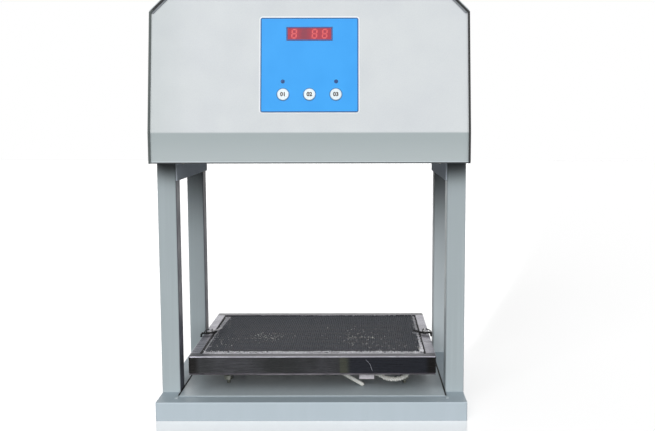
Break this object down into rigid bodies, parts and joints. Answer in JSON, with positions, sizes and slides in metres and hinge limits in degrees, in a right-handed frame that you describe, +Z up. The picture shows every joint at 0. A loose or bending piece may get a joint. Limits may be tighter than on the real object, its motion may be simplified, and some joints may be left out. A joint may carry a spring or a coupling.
{
  "type": "chemical oxygen demand reactor",
  "caption": "Bench reactor for reflux flasks: flat base, heating tray with wire gauze, square posts and a control head with keypad, display, cooling fans and condenser tube holes.",
  "frame": {"origin": "middle of the footprint at the bottom of the base", "axes": "+X to the operator's right seen from the front, +Y from front to back, +Z up"},
  "size_m": [0.41, 0.29, 0.5864],
  "materials": {
    "grey_paint": "semi-gloss pale blue-grey powder paint",
    "cover_paint": "satin pale grey paint",
    "panel_paint": "satin light grey paint",
    "plated_steel": "zinc plated",
    "stainless": "bright stainless sheet, lightly scratched",
    "iron_gauze": "dark heat-stained wire",
    "heating_wire": "oxidised resistance wire",
    "fibre_board": "rough off-white fibre board",
    "white_ceramic": "unglazed white ceramic",
    "glass_braid": "white braided glass fibre",
    "black_rubber": "matt",
    "blue_film": "satin blue film",
    "red_window": "tinted red-brown",
    "white_key": "smooth white",
    "lamp_blue": "dark blue lens",
    "black_plastic": "moulded black",
    "guard_metal": "black coated",
    "circuit_board": "green solder mask",
    "green_plastic": "moulded green",
    "core_steel": "laminated core with a wound coil",
    "brass_pins": "bare"
  },
  "bodies": {
    "root": {"base_pan": "grey_paint", "base_bottom_plate": "grey_paint", "deck_plate": "grey_paint", "deck_screws": "plated_steel", "lead_grommet": "black_rubber", "post_front_left": "grey_paint", "post_front_right": "grey_paint", "post_rear_left": "grey_paint", "post_rear_right": "grey_paint", "side_rail_left": "grey_paint", "side_rail_right": "grey_paint", "rail_screws": "plated_steel", "tray_frame": "stainless", "tray_floor": "stainless", "tray_studs": "plated_steel", "insulation_board": "fibre_board", "heater_element": "heating_wire", "wire_gauze": "iron_gauze", "gauze_tie_left": "iron_gauze", "gauze_tie_right": "iron_gauze", "terminal_block": "white_ceramic", "terminal_screws": "plated_steel", "heater_lead": "glass_braid", "supply_lead": "glass_braid", "sleeve_end": "glass_braid", "head_cover": "cover_paint", "front_panel": "panel_paint", "head_bottom_plate": "grey_paint", "rear_panel": "grey_paint", "tube_plate": "cover_paint", "tube_plate_screws": "plated_steel", "inner_wall": "grey_paint", "keypad_overlay": "blue_film", "display_window": "red_window", "key_switches": "black_plastic", "indicator_lamps": "lamp_blue", "display_module": "black_plastic", "display_board": "circuit_board", "board_spacers": "plated_steel", "control_board": "circuit_board", "heater_relay": "black_plastic", "terminal_strip": "green_plastic", "transformer": "core_steel", "fan_frame_left": "black_plastic", "fan_guard_left": "guard_metal", "fan_frame_right": "black_plastic", "fan_guard_right": "guard_metal", "fan_screws": "plated_steel", "power_inlet": "black_plastic", "inlet_pins": "brass_pins", "inlet_screws": "plated_steel", "fuse_holder": "black_plastic", "rocker_housing": "black_plastic"},
    "button_left": {"button_left": "white_key"},
    "button_middle": {"button_middle": "white_key"},
    "button_right": {"button_right": "white_key"},
    "rotor_left": {"fan_rotor_left": "black_plastic"},
    "rotor_right": {"fan_rotor_right": "black_plastic"},
    "rocker": {"rocker_switch": "black_plastic"}
  },
  "joints": [
    {"name": "press_left", "type": "slide", "parent": "root", "child": "button_left", "axis": [0, 0.9892, -0.1463], "range_m": [0, 0.0005], "stiffness_N_per_m": 1500, "springref_m": -0.0004},
    {"name": "press_middle", "type": "slide", "parent": "root", "child": "button_middle", "axis": [0, 0.9892, -0.1463], "range_m": [0, 0.0005], "stiffness_N_per_m": 1500, "springref_m": -0.0004},
    {"name": "press_right", "type": "slide", "parent": "root", "child": "button_right", "axis": [0, 0.9892, -0.1463], "range_m": [0, 0.0005], "stiffness_N_per_m": 1500, "springref_m": -0.0004},
    {"name": "spin_left", "type": "hinge", "parent": "root", "child": "rotor_left", "pos_m": [-0.095, 0.12, 0.47], "axis": [0, 1, 0], "continuous": true},
    {"name": "spin_right", "type": "hinge", "parent": "root", "child": "rotor_right", "pos_m": [0.095, 0.12, 0.47], "axis": [0, 1, 0], "continuous": true},
    {"name": "rocker_tip", "type": "hinge", "parent": "root", "child": "rocker", "pos_m": [0.12, 0.137, 0.372], "axis": [1, 0, 0], "range_deg": [0, 18]}
  ]
}
